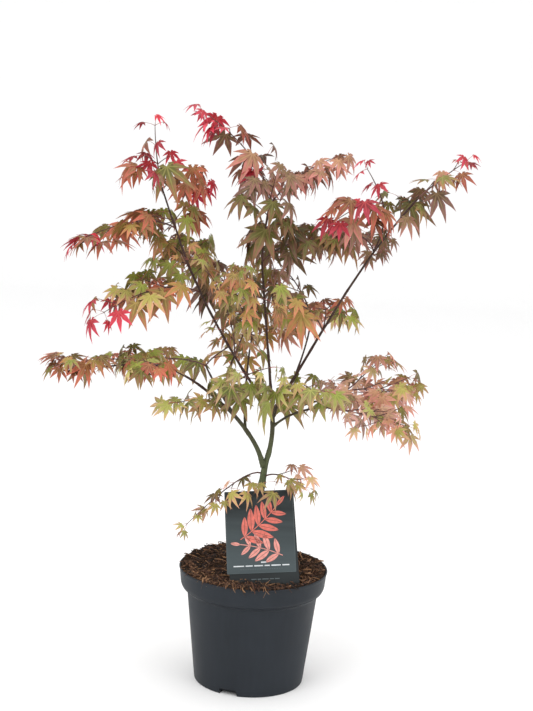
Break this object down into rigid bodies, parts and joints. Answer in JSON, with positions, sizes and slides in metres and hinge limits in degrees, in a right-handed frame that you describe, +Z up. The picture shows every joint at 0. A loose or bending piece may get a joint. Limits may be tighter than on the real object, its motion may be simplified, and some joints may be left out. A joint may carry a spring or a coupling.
{
  "type": "potted japanese maple",
  "caption": "Young Japanese maple in a round nursery pot: forked trunk, tapering boughs and an open crown of palmate autumn leaves, with a plain plant label.",
  "frame": {"origin": "middle of the pot's flat underside", "axes": "+Z up along the pot, -Y towards the front, where the plant label faces, +X to the right seen from the front"},
  "size_m": [0.735, 0.5256, 0.9907],
  "materials": {
    "pot": "matt moulded plastic, dark anthracite",
    "compost": "rough dark brown fibre",
    "label": "satin dark slate card",
    "bark_green": "smooth grey-green bark",
    "bark_dark": "smooth dark purple-brown bark",
    "leaves_crimson": "crimson young leaves",
    "leaves_orange_tan": "orange-tan leaves",
    "leaves_dusty_rose": "dusty rose leaves",
    "leaves_dark_bronze": "dark bronze leaves",
    "leaves_pink_tan": "pink and tan leaves",
    "leaves_olive": "olive leaves with orange edges"
  },
  "bodies": {
    "root": {"pot": "pot", "compost": "compost", "label_front_card": "label", "label_rear_card": "label", "trunk": "bark_green", "stem_left": "bark_green", "stem_right": "bark_green", "bough_left_low_inner": "bark_dark", "bough_left_low_outer": "bark_dark", "bough_upright_left": "bark_dark", "bough_upright_back": "bark_dark", "bough_long_left_lower": "bark_dark", "bough_long_left_middle": "bark_dark", "bough_long_left_upper": "bark_dark", "bough_centre_lower": "bark_dark", "bough_centre_upper": "bark_dark", "bough_right_lower": "bark_dark", "bough_right_middle": "bark_dark", "bough_right_upper": "bark_dark", "bough_right_inner": "bark_dark", "bough_right_low_front": "bark_dark", "bough_right_low_back": "bark_dark", "bough_back_left": "bark_dark", "bough_back_right": "bark_dark", "mass_top_left": "leaves_crimson", "mass_top_left_side": "leaves_crimson", "mass_top_left_back": "leaves_olive", "mass_upper_left_side": "leaves_orange_tan", "mass_upper_left_inner": "leaves_olive", "mass_left_middle": "leaves_olive", "mass_left_middle_back": "leaves_olive", "mass_left_low_end": "leaves_olive", "mass_left_low_middle": "leaves_olive", "mass_left_low_front": "leaves_olive", "mass_left_lower": "leaves_olive", "mass_left_centre": "leaves_olive", "mass_left_centre_front": "leaves_olive", "mass_left_centre_back": "leaves_olive", "mass_centre_left": "leaves_dark_bronze", "mass_centre_right": "leaves_olive", "mass_top_arch": "leaves_dusty_rose", "mass_centre_top": "leaves_dusty_rose", "mass_right_middle_inner": "leaves_olive", "mass_right_middle_outer": "leaves_olive", "mass_right_under": "leaves_olive", "mass_right_dark": "leaves_dark_bronze", "mass_right_top": "leaves_dusty_rose", "mass_right_inner_top": "leaves_crimson", "mass_right_inner_left": "leaves_crimson", "mass_centre_low_left": "leaves_olive", "mass_centre_low_right": "leaves_olive", "mass_right_low_front": "leaves_pink_tan", "mass_right_low_far": "leaves_pink_tan", "mass_right_low_back": "leaves_olive", "mass_back_left_outer": "leaves_olive", "mass_back_left_inner": "leaves_olive", "mass_back_right_outer": "leaves_olive", "mass_back_right_inner": "leaves_olive", "mass_low_left": "leaves_olive", "mass_low_right": "leaves_olive"}
  },
  "joints": []
}
